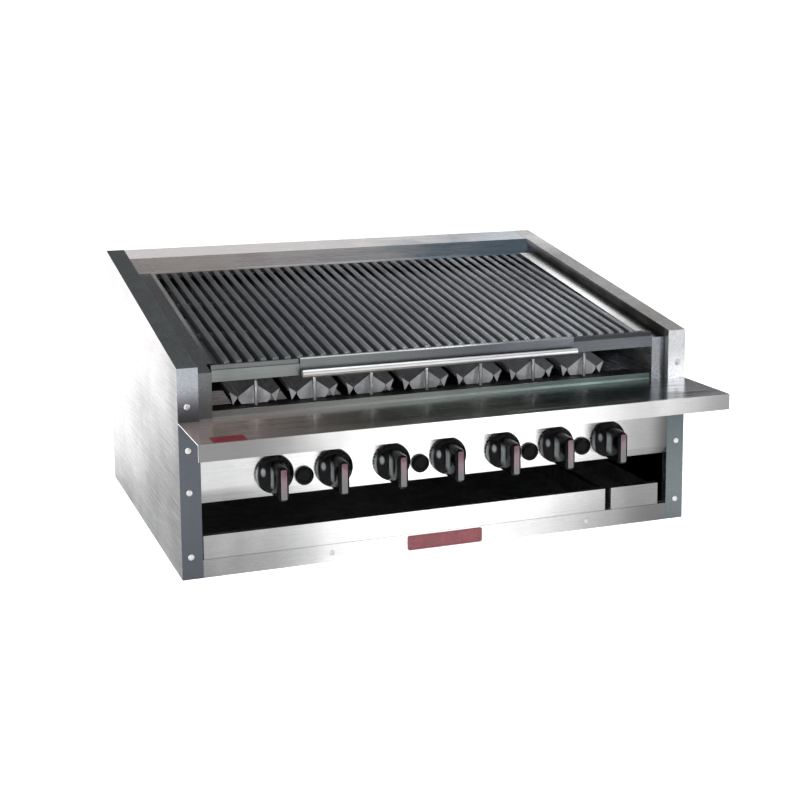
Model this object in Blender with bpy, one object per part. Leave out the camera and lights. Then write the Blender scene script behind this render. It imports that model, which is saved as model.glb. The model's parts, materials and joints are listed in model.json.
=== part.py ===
"""Countertop radiant gas charbroiler, 36 inches wide, made of separate sheet-metal, cast and turned pieces.

X runs across the front, +Y to the back and +Z up.
The origin is the centre of the footprint, on its underside.
All sizes are in metres. Depths are measured backwards from the front face of the cabinet, in the
direction of +Y, and at() turns a point given that way into the part's own frame.
"""

import math

import bmesh
import bpy
from mathutils import Vector

# Cabinet
WIDTH = 0.914
CABINET_DEPTH = 0.655
SHELF_REACH = 0.145
FRONT_HEIGHT = 0.345
BACK_HEIGHT = 0.457
CASING = 0.034  # thickness of a side casing, which is also the width of its front post and its top cap
SHEET = 0.0015
GAP = 0.0003  # between pieces that touch

# Cooking surface, which rises towards the back
GRATE_BARS = (6, 6, 6, 6, 6, 7)  # bars in each grate section, from left to right
BAR_PITCH = 0.0204
GRATE_SHIFT = -0.003  # the loose row of grates sits a little to the left
GRATE_LENGTH = 0.518
GRATE_THICKNESS = 0.022
GRATE_FRONT = 0.028  # depth of its lower front edge
COOKING_SLOPE = 0.15
COOKING_HEIGHT = 0.342  # of the cooking plane where it would meet the front face

# Burners, each with its valve and knob in front and its radiant above
BURNER_COUNT = 7
BURNER_PITCH = 0.101
KNOB_HEIGHT = 0.161
MANIFOLD_HEIGHT = 0.204
MANIFOLD_DEPTH = 0.030
MANIFOLD_RADIUS = 0.013
INLET_X = 0.390
RADIANT_SHIFT = -0.007  # the loose radiants and the pilots sit a little to the left of the burners
BEND_START = 0.110  # where the burners leave the line of their mixer tubes
BEND_LENGTH = 0.095
STEM_RADIUS = 0.004
PLUG_HEIGHT = 0.1525
PLUG_HOLE = 0.012
PLUGS_AFTER = (0, 2, 4, 5)  # the knobs that have a pilot plug on their right

# Heights up the front
RAIL_TOP = 0.030
FLOOR_TOP = 0.0055
PAN_FRONT_TOP = 0.0695
PANEL_BOTTOM = 0.1225
SHELF_TOP = 0.258
SHELF_EDGE = 0.027
LIP_TOP = 0.268
GRATE_RAIL_BOTTOM = 0.316
GRATE_RAIL_STEP = 0.335
GRATE_RAIL_TOP = 0.3425
TROUGH_BOTTOM = 0.3135
TROUGH_ROLL = 0.0060  # radius of its rolled edge
TROUGH_LENGTH = 0.494
TROUGH_SHIFT = -0.0045  # the loose trough hangs a little to the left

# Depths inside
STRIP_DEPTH = 0.015
LINER_WALL = 0.0575  # from the outside of the casing to the wall of the firebox
LEDGE_REACH = 0.072  # from the outside of the casing to the inner edge of the side ledge
PILOT_DEPTH = 0.077
RADIANT_FRONT = 0.088
FRONT_WALL = 0.100
REAR_SUPPORT = 0.465
REAR_WALL = 0.5205
REAR_DROP = 0.546
RISER_FACE = 0.592
RISER_LEAN = 0.015

HALF = WIDTH / 2
BAY = HALF - CASING
FIREBOX = HALF - LINER_WALL - SHEET - GAP  # half width between the walls of the firebox
FRONT_Y = SHELF_REACH - (CABINET_DEPTH + SHELF_REACH) / 2
CAP_SLOPE = (BACK_HEIGHT - FRONT_HEIGHT) / CABINET_DEPTH
TILT = math.atan(COOKING_SLOPE)
RADIANT_LEDGE = SHELF_TOP + 0.0005
LEDGE_DROP = 0.0155  # from the top caps down to the side ledges

BURNER_X = [BURNER_PITCH * (i - (BURNER_COUNT - 1) / 2) for i in range(BURNER_COUNT)]
PLUG_X = [BURNER_X[i] + BURNER_PITCH / 2 for i in PLUGS_AFTER]
RADIANT_X = [x + RADIANT_SHIFT for x in BURNER_X]


def at(x, depth, z):
    return Vector((x, FRONT_Y + depth, z))


def cap_height(depth):
    """Height of the casings' top caps at this depth."""
    return FRONT_HEIGHT + CAP_SLOPE * depth


def ledge_height(depth):
    """Height of the side ledges, which run parallel to the top caps."""
    return cap_height(depth) - LEDGE_DROP


def cooking_height(depth):
    """Height of the cooking plane at this depth."""
    return COOKING_HEIGHT + COOKING_SLOPE * depth


def grate_underside(depth):
    return cooking_height(depth) - GRATE_THICKNESS / math.cos(TILT)


def radiant_underside(depth):
    return RADIANT_LEDGE + GAP + COOKING_SLOPE * (depth - RADIANT_FRONT)


# Making shapes


def clear_scene():
    for obj in list(bpy.data.objects):
        bpy.data.objects.remove(obj)


def material(name, colour, roughness, metallic):
    made = bpy.data.materials.new(name)
    made.use_nodes = True
    shader = made.node_tree.nodes["Principled BSDF"]
    shader.inputs["Base Color"].default_value = (*colour, 1)
    shader.inputs["Roughness"].default_value = roughness
    shader.inputs["Metallic"].default_value = metallic
    return made


def mesh_of_rings(name, *stacks):
    """A mesh of closed bodies. Each stack is a list of rings, joined and capped in order."""
    points, faces = [], []
    for rings in stacks:
        count, first = len(rings[0]), len(points)
        points += [tuple(point) for ring in rings for point in ring]
        for k in range(len(rings) - 1):
            low = first + k * count
            for i in range(count):
                j = (i + 1) % count
                faces.append((low + i, low + j, low + count + j, low + count + i))
        faces.append(tuple(range(first, first + count)))
        last = first + (len(rings) - 1) * count
        faces.append(tuple(range(last, last + count)))
    mesh = bpy.data.meshes.new(name)
    mesh.from_pydata(points, [], faces)
    work = bmesh.new()
    work.from_mesh(mesh)
    bmesh.ops.recalc_face_normals(work, faces=work.faces)
    work.to_mesh(mesh)
    work.free()
    return mesh


def smoothed(mesh, angle=35):
    mesh.shade_smooth()
    mesh.set_sharp_from_angle(angle=math.radians(angle))
    return mesh


def place(name, mesh, finish, location=(0, 0, 0), tilt=0.0):
    """A named object, located and tilted about X, under the empty that carries the whole broiler."""
    obj = bpy.data.objects.new(name, mesh)
    bpy.context.scene.collection.objects.link(obj)
    if finish is not None and not mesh.materials:
        mesh.materials.append(finish)
    obj.location = location
    obj.rotation_euler.x = tilt
    obj.parent = bpy.data.objects["charbroiler"]
    return obj


def helper(mesh):
    """An object that is only cut away from another, or joined to it."""
    obj = place(mesh.name + "_helper", mesh, None)
    obj.hide_render = True
    obj.display_type = "WIRE"
    return obj


def combine(obj, operation, *meshes):
    """Cuts each mesh from the object, or joins it on. The meshes are in the object's own coordinates."""
    for mesh in meshes:
        tool = helper(mesh)
        tool.location = obj.location
        tool.rotation_euler = obj.rotation_euler
        modifier = obj.modifiers.new(mesh.name, "BOOLEAN")
        modifier.operation = operation
        modifier.solver = "EXACT"
        modifier.object = tool
    return obj


def box(name, x, depth, z):
    """A box from (low, high) pairs."""
    outline = [(depth[0], z[0]), (depth[1], z[0]), (depth[1], z[1]), (depth[0], z[1])]
    return across(name, outline, x)


def across(name, outline, x):
    """An outline of (depth, height) points, drawn out across the width."""
    return mesh_of_rings(name, [[at(end, d, z) for d, z in outline] for end in x])


def backwards(name, outline, depth):
    """An outline of (x, height) points, drawn out from front to back."""
    return mesh_of_rings(name, [[at(x, end, z) for x, z in outline] for end in depth])


def bent_sheet(path, thickness=SHEET):
    """The outline of a folded sheet: its face follows the path, its thickness lies to the right."""
    points = [Vector(p) for p in path]
    rights = []
    for a, b in zip(points, points[1:]):
        way = (b - a).normalized()
        rights.append(Vector((way.y, -way.x)))
    offset = [points[0] + rights[0] * thickness]
    for point, before, after in zip(points[1:-1], rights, rights[1:]):
        middle = (before + after).normalized()
        offset.append(point + middle * thickness / middle.dot(before))
    offset.append(points[-1] + rights[-1] * thickness)
    return [tuple(p) for p in points] + [tuple(p) for p in reversed(offset)]


def turned(profile, sides, centre=(0, 0, 0)):
    """Rings about an axis along Y, from (radius, depth) points, for mesh_of_rings."""
    turns = [2 * math.pi * k / sides for k in range(sides)]
    middle = Vector(centre)
    return [
        [middle + Vector((r * math.cos(a), d, r * math.sin(a))) for a in turns]
        for r, d in profile
    ]


def swept(path, radii, sides):
    """Rings along a path, each square to it, for mesh_of_rings."""
    points = [Vector(p) for p in path]
    rings = []
    side = None
    for k, (point, radius) in enumerate(zip(points, radii)):
        way = (points[min(k + 1, len(points) - 1)] - points[max(k - 1, 0)]).normalized()
        if side is None:
            side = way.orthogonal().normalized()
        side = (side - way * side.dot(way)).normalized()
        up = way.cross(side)
        turns = [2 * math.pi * i / sides for i in range(sides)]
        rings.append([point + radius * (math.cos(a) * side + math.sin(a) * up) for a in turns])
    return rings


def rod(name, start, end, radius, sides=12):
    return mesh_of_rings(name, swept([start, end], [radius, radius], sides))


def arc(centre, u, v, radius, start, end, steps):
    """Points on an arc about centre, in the plane of unit vectors u and v, between two angles in degrees."""
    angles = [math.radians(start + (end - start) * k / steps) for k in range(steps + 1)]
    return [
        Vector(centre) + radius * (math.cos(a) * Vector(u) + math.sin(a) * Vector(v)) for a in angles
    ]


# Cabinet


def casing_outline(inset_front, inset_low, inset_back, inset_top):
    """The casing's side view, (depth, height), drawn in by these amounts."""
    front, back = inset_front, CABINET_DEPTH - inset_back
    return [
        (front, inset_low),
        (back, inset_low),
        (back, cap_height(back) - inset_top),
        (front, cap_height(front) - inset_top),
    ]


def side_casing(name, side, finish):
    """A folded box: outer skin, front post, sloping top cap and hems, open towards the bay."""
    body = place(name, across(name, casing_outline(0, 0, 0, 0), (side * HALF, side * BAY)), finish)
    cavity = across(
        name + "_cavity",
        casing_outline(SHEET, SHEET, SHEET, SHEET),
        (side * (HALF - SHEET), side * (BAY + SHEET)),
    )
    window = across(
        name + "_window",
        casing_outline(0.014, 0.014, 0.015, 0.030),
        (side * (BAY + 2 * SHEET), side * (BAY - 2 * SHEET)),
    )
    combine(body, "DIFFERENCE", cavity, window)


def build_cabinet(steel):
    side_casing("left_side_casing", -1, steel)
    side_casing("right_side_casing", 1, steel)
    between = (GAP - BAY, BAY - GAP)

    floor_bottom, floor_turn_up = FLOOR_TOP - SHEET, 0.010
    floor_path = [
        (between[1], floor_bottom + floor_turn_up),
        (between[1], floor_bottom),
        (between[0], floor_bottom),
        (between[0], floor_bottom + floor_turn_up),
    ]
    outline = bent_sheet(floor_path)
    floor = backwards("bottom_panel", outline, (2 * SHEET, CABINET_DEPTH - 2 * SHEET))
    place("bottom_panel", floor, steel)

    rail_fold = 0.020
    rail_path = [(rail_fold, 0), (0, 0), (0, RAIL_TOP), (rail_fold, RAIL_TOP)]
    place("base_rail", across("base_rail", bent_sheet(rail_path), between), steel)

    back_top = cap_height(CABINET_DEPTH - SHEET) - 2 * SHEET
    back = box("back_panel", between, (CABINET_DEPTH - SHEET, CABINET_DEPTH), (0, back_top))
    inlet = rod(
        "inlet_hole",
        at(INLET_X, CABINET_DEPTH - 0.02, MANIFOLD_HEIGHT),
        at(INLET_X, CABINET_DEPTH + 0.02, MANIFOLD_HEIGHT),
        MANIFOLD_RADIUS + 0.003,
        12,
    )
    combine(place("back_panel", back, steel), "DIFFERENCE", inlet)


def build_badge(red):
    """A plain red plate on the base rail."""
    width, height, middle = 0.136, 0.025, -0.005
    low = (RAIL_TOP - height) / 2
    plate = box(
        "badge_plate",
        (middle - width / 2, middle + width / 2),
        (-GAP - 0.0012, -GAP),
        (low, low + height),
    )
    place("badge_plate", plate, red)


def build_control_panel(steel):
    """The fascia, with a turned-back lower edge and holes for the valve stems and the pilot plugs."""
    fold, chamfer_depth, chamfer_height = 0.012, 0.006, 0.014
    path = [
        (fold, PANEL_BOTTOM),
        (chamfer_depth, PANEL_BOTTOM),
        (0, PANEL_BOTTOM + chamfer_height),
        (0, SHELF_TOP - SHEET - GAP),
        (fold, SHELF_TOP - SHEET - GAP),
    ]
    mesh = across("control_panel", bent_sheet(path), (GAP - BAY, BAY - GAP))
    panel = place("control_panel", mesh, steel)
    holes = [(x, KNOB_HEIGHT, STEM_RADIUS + 0.002) for x in BURNER_X]
    holes += [(x, PLUG_HEIGHT, PLUG_HOLE) for x in PLUG_X]
    stacks = [turned([(r, -0.005), (r, 0.005)], 8, at(x, 0, z)) for x, z, r in holes]
    combine(panel, "DIFFERENCE", mesh_of_rings("panel_holes", *stacks))


def build_shelf(steel):
    """The work shelf: folded down at the front, open at both ends, running in to a lip between the posts."""
    outer = box(
        "front_shelf", (-HALF, HALF), (-SHELF_REACH, -GAP), (SHELF_TOP - SHELF_EDGE, SHELF_TOP)
    )
    past, tongue_depth, overlap = 0.010, 0.020, 0.020
    hollow = box(
        "shelf_hollow",
        (-HALF - past, HALF + past),
        (SHEET - SHELF_REACH, past),
        (SHELF_TOP - SHELF_EDGE - past, SHELF_TOP - SHEET),
    )
    tongue = box(
        "shelf_tongue", (GAP - BAY, BAY - GAP), (-overlap, tongue_depth), (SHELF_TOP - SHEET, SHELF_TOP)
    )
    lip = box(
        "shelf_lip",
        (-FIREBOX, FIREBOX),
        (tongue_depth - SHEET, tongue_depth),
        (SHELF_TOP - SHEET / 2, LIP_TOP),
    )
    shelf = place("front_shelf", outer, steel)
    combine(shelf, "DIFFERENCE", hollow)
    combine(shelf, "UNION", tongue, lip)


# Firebox


def side_liner(name, side, finish):
    """A side ledge beside the grates, folded from one sheet with the firebox wall and its front strip."""
    ledge_start, ledge_end, hem = STRIP_DEPTH, REAR_DROP - SHEET, 0.012

    def section(depth):
        height = ledge_height(depth)
        path = [(GAP - BAY, height), (LEDGE_REACH - HALF, height), (LEDGE_REACH - HALF, height - hem)]
        return [at(-side * x, depth, z) for x, z in bent_sheet(path)]

    liner = place(name, mesh_of_rings(name, [section(ledge_start), section(ledge_end)]), finish)

    corner = box(
        name + "_corner",
        (side * (HALF - LINER_WALL - SHEET), side * (HALF - LEDGE_REACH - 0.01)),
        (STRIP_DEPTH - 0.01, 0.052),
        (GRATE_RAIL_BOTTOM - 0.02, FRONT_HEIGHT + 0.01),
    )
    combine(liner, "DIFFERENCE", corner)

    top_start = ledge_height(STRIP_DEPTH) - SHEET / 2
    wall_end = REAR_WALL - SHEET
    top_end = ledge_height(wall_end) - SHEET / 2
    bottom, foot = 0.150, SHELF_TOP + GAP
    wall_outline = [
        (STRIP_DEPTH, foot),
        (FRONT_WALL + GAP, foot),
        (FRONT_WALL + GAP, bottom),
        (wall_end, bottom),
        (wall_end, top_end),
        (STRIP_DEPTH, top_start),
    ]
    wall_x = (side * (HALF - LINER_WALL), side * (HALF - LINER_WALL - SHEET))
    strip_x = (side * (BAY - GAP), side * (HALF - LINER_WALL - SHEET / 2))
    strip = box(name + "_strip", strip_x, (STRIP_DEPTH, STRIP_DEPTH + SHEET), (foot, top_start))
    combine(liner, "UNION", across(name + "_wall", wall_outline, wall_x), strip)


def build_firebox(steel, dark_steel):
    side_liner("left_liner", -1, steel)
    side_liner("right_liner", 1, steel)
    between = (-FIREBOX, FIREBOX)

    upstand = 0.0235
    wall_path = [
        (upstand, LIP_TOP - SHEET),
        (upstand, RADIANT_LEDGE),
        (FRONT_WALL, RADIANT_LEDGE),
        (FRONT_WALL, 0.135),
    ]
    wall = place(
        "firebox_front_wall", across("firebox_front_wall", bent_sheet(wall_path), between), dark_steel
    )
    burner_holes = [
        turned([(0.018, -0.01), (0.018, 0.01)], 10, at(x, FRONT_WALL, KNOB_HEIGHT)) for x in BURNER_X
    ]
    pilot_holes = [
        swept(
            [at(x, PILOT_DEPTH, RADIANT_LEDGE - 0.01), at(x, PILOT_DEPTH, RADIANT_LEDGE + 0.01)],
            [0.005, 0.005],
            6,
        )
        for x in RADIANT_X
    ]
    combine(wall, "DIFFERENCE", mesh_of_rings("wall_holes", *burner_holes, *pilot_holes))

    flange = 0.025
    support_top = radiant_underside(REAR_SUPPORT) - GAP
    support_path = [
        (REAR_SUPPORT, 0.200),
        (REAR_SUPPORT, support_top),
        (REAR_SUPPORT + flange, support_top + flange * COOKING_SLOPE),
    ]
    support = place(
        "rear_burner_support",
        across("rear_burner_support", bent_sheet(support_path), between),
        dark_steel,
    )
    pin_holes = [
        turned([(0.0055, -0.01), (0.0055, 0.01)], 8, at(x, REAR_SUPPORT, burner_line(REAR_SUPPORT)))
        for x in BURNER_X
    ]
    combine(support, "DIFFERENCE", mesh_of_rings("pin_holes", *pin_holes))

    deck = 0.421
    ledge = grate_underside(REAR_WALL) - GAP
    riser_path = [
        (REAR_WALL, ledge - 0.018),
        (REAR_WALL, ledge),
        (REAR_DROP, ledge),
        (REAR_DROP, deck),
        (RISER_FACE - RISER_LEAN, deck),
        (RISER_FACE, cap_height(RISER_FACE)),
        (CABINET_DEPTH - SHEET, cap_height(CABINET_DEPTH - SHEET)),
    ]
    riser = place(
        "rear_riser", across("rear_riser", bent_sheet(riser_path), (GAP - BAY, BAY - GAP)), steel
    )
    rear_wall = box("rear_wall", between, (REAR_WALL, REAR_WALL + SHEET), (0.150, ledge - 0.008))
    combine(riser, "UNION", rear_wall)


def build_grate_rail(steel):
    """The front rail: a folded section with a set-back top and a ledge behind it for the grates."""
    ledge = grate_underside(GRATE_FRONT) - GAP
    set_back, top_back, ledge_back = STRIP_DEPTH + 0.003, GRATE_FRONT - 0.0045, 0.052
    path = [
        (STRIP_DEPTH, GRATE_RAIL_BOTTOM),
        (STRIP_DEPTH, GRATE_RAIL_STEP),
        (set_back, GRATE_RAIL_STEP),
        (set_back, GRATE_RAIL_TOP),
        (top_back, GRATE_RAIL_TOP),
        (top_back, ledge),
        (ledge_back, ledge),
    ]
    mesh = across("front_grate_rail", bent_sheet(path), (-FIREBOX, FIREBOX))
    place("front_grate_rail", mesh, steel)


def build_trough(steel):
    """The grease trough: a gutter with a rolled front edge that hooks over the middle of the front rail."""
    thickness = 0.0012
    back = STRIP_DEPTH - thickness - GAP
    hook = GRATE_RAIL_TOP + thickness + GAP
    roll_depth, roll_height = 0.0015, TROUGH_BOTTOM + thickness + TROUGH_ROLL
    path = [
        (roll_depth, roll_height),
        (roll_depth, TROUGH_BOTTOM + thickness),
        (back, TROUGH_BOTTOM + thickness),
        (back, hook),
        (back + 0.0090, hook),
    ]
    start, end = TROUGH_SHIFT - TROUGH_LENGTH / 2, TROUGH_SHIFT + TROUGH_LENGTH / 2
    mesh = across("grease_trough", bent_sheet(path, thickness), (start, end))
    trough = place("grease_trough", mesh, steel)
    ends = (at(start, roll_depth, roll_height), at(end, roll_depth, roll_height))
    combine(trough, "UNION", rod("trough_roll", *ends, TROUGH_ROLL, 12))


# Gas parts


def burner_line(depth):
    """Height of a burner's centre: level through the front wall, then parallel to the cooking plane."""
    drop = 0.045
    t = min(max((depth - BEND_START) / BEND_LENGTH, 0), 1)
    share = t * t * (3 - 2 * t)
    body = radiant_underside(depth) - drop
    return KNOB_HEIGHT + share * (body - KNOB_HEIGHT)


def burner_mesh():
    """An S-shaped tubular burner, from its open mixer mouth to the pin at its rear end."""
    mouth = [(0.072, 0.0110), (0.058, 0.0130), (0.058, 0.0165), (0.070, 0.0140)]
    bend = [(BEND_START + BEND_LENGTH * k / 4, 0.0140) for k in range(5)]
    body = [(0.450, 0.0140), (0.4525, 0.0040), (0.475, 0.0040)]
    stations = mouth + bend + body
    path = [at(0, depth, burner_line(depth)) for depth, _ in stations]
    radii = [radius for _, radius in stations]
    rings = []
    sides = 8
    for k, (point, radius) in enumerate(zip(path, radii)):
        depth = stations[k][0]
        slope = (burner_line(depth + 0.001) - burner_line(depth - 0.001)) / 0.002
        way = Vector((0, 1, slope)).normalized()
        up = Vector((1, 0, 0)).cross(way)
        turns = [2 * math.pi * i / sides for i in range(sides)]
        rings.append(
            [point + radius * (math.cos(a) * Vector((1, 0, 0)) + math.sin(a) * up) for a in turns]
        )
    return smoothed(mesh_of_rings("burner", rings))


def radiant_mesh():
    """An inverted V with turned-out feet and a closed front, lying along +Y from its front end."""
    foot, half, height, length = 0.043, 0.036, 0.034, 0.420
    path = [(-foot, 0), (-half, 0), (0, height), (half, 0), (foot, 0)]
    outline = bent_sheet(path)
    stack = [[Vector((x, y, z + SHEET)) for x, z in outline] for y in (0, length)]
    return mesh_of_rings("radiant", stack), mesh_of_rings(
        "radiant_end",
        [
            [Vector((x, y, z)) for x, z in ((-half, 0), (half, 0), (0, height))]
            for y in (0, 2 * SHEET)
        ],
    )


def build_burners(cast_iron, dark_steel):
    burner = burner_mesh()
    radiant, radiant_end = radiant_mesh()
    for i, (x, radiant_x) in enumerate(zip(BURNER_X, RADIANT_X), 1):
        place(f"burner_{i}", burner, cast_iron, (x, 0, 0))
        spot = at(radiant_x, RADIANT_FRONT, radiant_underside(RADIANT_FRONT))
        combine(place(f"radiant_{i}", radiant, dark_steel, spot, TILT), "UNION", radiant_end)


def build_gas_train(brass, black_pipe, steel):
    """The manifold with its run to the back, seven valves, and the pilot rail with its seven risers."""
    elbow = 0.030
    corner_x = 0.427
    jog_start, jog_end = 0.545, 0.620
    path = [at(-0.340, MANIFOLD_DEPTH, MANIFOLD_HEIGHT)]
    path += arc(
        at(corner_x - elbow, MANIFOLD_DEPTH + elbow, MANIFOLD_HEIGHT), (1, 0, 0), (0, 1, 0), elbow, -90, 0, 4
    )
    for k in range(5):
        t = k / 4
        share = t * t * (3 - 2 * t)
        path.append(
            at(
                corner_x + share * (INLET_X - corner_x),
                jog_start + t * (jog_end - jog_start),
                MANIFOLD_HEIGHT,
            )
        )
    path.append(at(INLET_X, CABINET_DEPTH, MANIFOLD_HEIGHT))
    mesh = smoothed(mesh_of_rings("gas_manifold", swept(path, [MANIFOLD_RADIUS] * len(path), 10)))
    place("gas_manifold", mesh, black_pipe)

    body_start, body_end, outlet_end = 0.012, 0.048, 0.056
    profile = [
        (STEM_RADIUS, -0.012),
        (STEM_RADIUS, body_start),
        (0.011, body_start),
        (0.011, body_end),
        (0.006, body_end),
        (0.006, outlet_end),
    ]
    valve = smoothed(mesh_of_rings("valve", turned(profile, 8)))
    neck_top = MANIFOLD_HEIGHT - MANIFOLD_RADIUS - GAP - KNOB_HEIGHT
    neck = rod("valve_neck", (0, MANIFOLD_DEPTH, 0), (0, MANIFOLD_DEPTH, neck_top), 0.007, 8)
    for i, x in enumerate(BURNER_X, 1):
        combine(place(f"valve_{i}", valve, brass, at(x, 0, KNOB_HEIGHT)), "UNION", neck)

    rail_height, radius, sides = 0.235, 0.0032, 6
    rail = rod(
        "pilot_rail",
        at(RADIANT_X[0] - 0.020, PILOT_DEPTH, rail_height),
        at(RADIANT_X[-1] + 0.020, PILOT_DEPTH, rail_height),
        radius,
        sides,
    )
    risers = []
    hook, top = 0.007, 0.296
    for x in RADIANT_X:
        bend = arc(
            at(x, PILOT_DEPTH + hook, top), (0, -1, 0), (0, 0, 1), hook, 0, 90, 3
        )
        way = [at(x, PILOT_DEPTH, rail_height), *bend, at(x, PILOT_DEPTH + hook + 0.012, top + hook)]
        risers.append(swept(way, [radius] * len(way), sides))
    rail_object = place("pilot_rail", rail, steel)
    combine(rail_object, "UNION", mesh_of_rings("pilot_risers", *risers))


# Controls


def knob_mesh():
    """The round skirt and the tapered grip of a knob, turning about the Y axis through its origin."""
    skirt = [
        (0.0310, -0.0020),
        (0.0320, -0.0040),
        (0.0315, -0.0100),
        (0.0280, -0.0150),
        (0.0180, -0.0178),
    ]
    half_width, upper, lower = 0.0105, 0.0250, 0.0340
    root, crown = -0.0100, -0.0580
    corners = (-90, -30, 30, 90)

    def grip_ring(depth, share):
        width = half_width * share
        top = [(90 + a, upper * share - width) for a in corners]
        bottom = [(270 + a, width - lower * share) for a in corners]
        return [
            Vector((width * math.cos(math.radians(a)), depth, z + width * math.sin(math.radians(a))))
            for a, z in top + bottom
        ]

    skirt_mesh = smoothed(mesh_of_rings("knob", turned(skirt, 20)))
    grip = mesh_of_rings("knob_grip", [grip_ring(root, 1.0), grip_ring(crown, 0.88)])
    bore_radius = STEM_RADIUS + 2 * GAP
    bore = mesh_of_rings("knob_bore", turned([(bore_radius, 0.004), (bore_radius, -0.0135)], 8))
    return skirt_mesh, grip, bore


def build_controls(black_plastic):
    skirt, grip, bore = knob_mesh()
    for i, x in enumerate(BURNER_X, 1):
        knob = place(f"knob_{i}", skirt, black_plastic, at(x, 0, KNOB_HEIGHT))
        combine(knob, "UNION", grip)
        combine(knob, "DIFFERENCE", bore)
    inner = PLUG_HOLE * 0.86
    profile = [(0.0125, -0.0080), (0.0155, -0.0050), (0.0155, -GAP), (inner, -GAP), (inner, 0.0060)]
    plug = smoothed(mesh_of_rings("pilot_plug", turned(profile, 16)))
    for i, x in enumerate(PLUG_X, 1):
        place(f"pilot_plug_{i}", plug, black_plastic, at(x, 0, PLUG_HEIGHT))


# Grates and pans


def grate_solids(count):
    """The bars and the cross ribs of one grate section with that many bars."""
    foot, crown, rise = 0.0034, 0.0063, 0.003
    bar_outline = [(-foot, rise), (foot, rise), (crown, GRATE_THICKNESS), (-crown, GRATE_THICKNESS)]
    bars = []
    for i in range(count):
        middle = BAR_PITCH * (i - (count - 1) / 2)
        bars.append([[Vector((middle + x, y, z)) for x, z in bar_outline] for y in (0, GRATE_LENGTH)])
    half, rib, rib_top = BAR_PITCH * count / 2 - 0.0005, 0.008, 0.014
    ribs = []
    for start in (0.0005, 0.165, 0.335, GRATE_LENGTH - rib - 0.0005):
        corners = [(-half, 0), (half, 0), (half, rib_top), (-half, rib_top)]
        ribs.append([[Vector((x, y, z)) for x, z in corners] for y in (start, start + rib)])
    return mesh_of_rings("grate", *bars), mesh_of_rings("grate_ribs", *ribs)


def build_grates(cast_iron):
    front = at(GRATE_SHIFT, GRATE_FRONT, grate_underside(GRATE_FRONT))
    left = -BAR_PITCH * sum(GRATE_BARS) / 2
    for i, count in enumerate(GRATE_BARS, 1):
        middle = left + BAR_PITCH * count / 2
        bars, ribs = grate_solids(count)
        grate = place(f"grate_{i}", bars, cast_iron, front + Vector((middle, 0, 0)), TILT)
        combine(grate, "UNION", ribs)
        left += BAR_PITCH * count


def pan(name, x, length, finish):
    """An open sheet-metal pan with a folded front that stands a little taller than its sides."""
    low, side_top, front_thickness, margin = RAIL_TOP + 2 * GAP, 0.062, 0.012, 0.0008
    body_x = (x[0] + margin, x[1] - margin)
    body = place(name, box(name, body_x, (0.002, length), (low, side_top)), finish)
    hollow = box(
        name + "_hollow",
        (body_x[0] + SHEET, body_x[1] - SHEET),
        (front_thickness, length - SHEET),
        (low + SHEET, side_top + 0.02),
    )
    front = box(name + "_front", x, (0, front_thickness), (low, PAN_FRONT_TOP))
    combine(body, "DIFFERENCE", hollow)
    combine(body, "UNION", front)


def build_pans(steel, dark_steel):
    pan("drip_pan", (-0.4215, 0.3005), 0.580, steel)
    pan("grease_box", (0.3120, 0.4060), 0.420, steel)
    foot = FLOOR_TOP + GAP
    for name, x in (
        ("pan_runner_left", (-0.416, -0.396)),
        ("pan_runner_middle", (0.285, 0.326)),
        ("pan_runner_right", (0.384, 0.404)),
    ):
        path = [(x[0], foot), (x[0], RAIL_TOP), (x[1], RAIL_TOP), (x[1], foot)]
        place(name, backwards(name, bent_sheet(path), (0.030, 0.600)), dark_steel)


def main():
    clear_scene()
    whole = bpy.data.objects.new("charbroiler", None)
    bpy.context.scene.collection.objects.link(whole)
    steel = material("stainless_steel", (0.62, 0.62, 0.64), 0.28, 1.0)
    dark_steel = material("heat_stained_steel", (0.30, 0.30, 0.31), 0.45, 1.0)
    cast_iron = material("cast_iron", (0.09, 0.095, 0.10), 0.55, 0.9)
    black_plastic = material("black_plastic", (0.012, 0.012, 0.014), 0.22, 0.0)
    brass = material("brass", (0.66, 0.50, 0.22), 0.35, 1.0)
    black_pipe = material("black_pipe", (0.05, 0.05, 0.05), 0.60, 0.6)
    red = material("red_badge", (0.52, 0.03, 0.06), 0.35, 0.0)

    build_cabinet(steel)
    build_badge(red)
    build_control_panel(steel)
    build_shelf(steel)
    build_firebox(steel, dark_steel)
    build_grate_rail(steel)
    build_trough(steel)
    build_burners(cast_iron, dark_steel)
    build_gas_train(brass, black_pipe, steel)
    build_controls(black_plastic)
    build_grates(cast_iron)
    build_pans(steel, dark_steel)


main()
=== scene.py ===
"""Countertop gas charbroiler: finished pieces, materials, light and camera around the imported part.

The frame is the part's own: X runs across the front, +Y to the back and +Z up, in metres.
Pieces are made in place, so their objects stay at the origin and their Object coordinates are metres.
"""

import json
import math
import random

import bmesh
import bpy
from mathutils import Matrix, Vector


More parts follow.
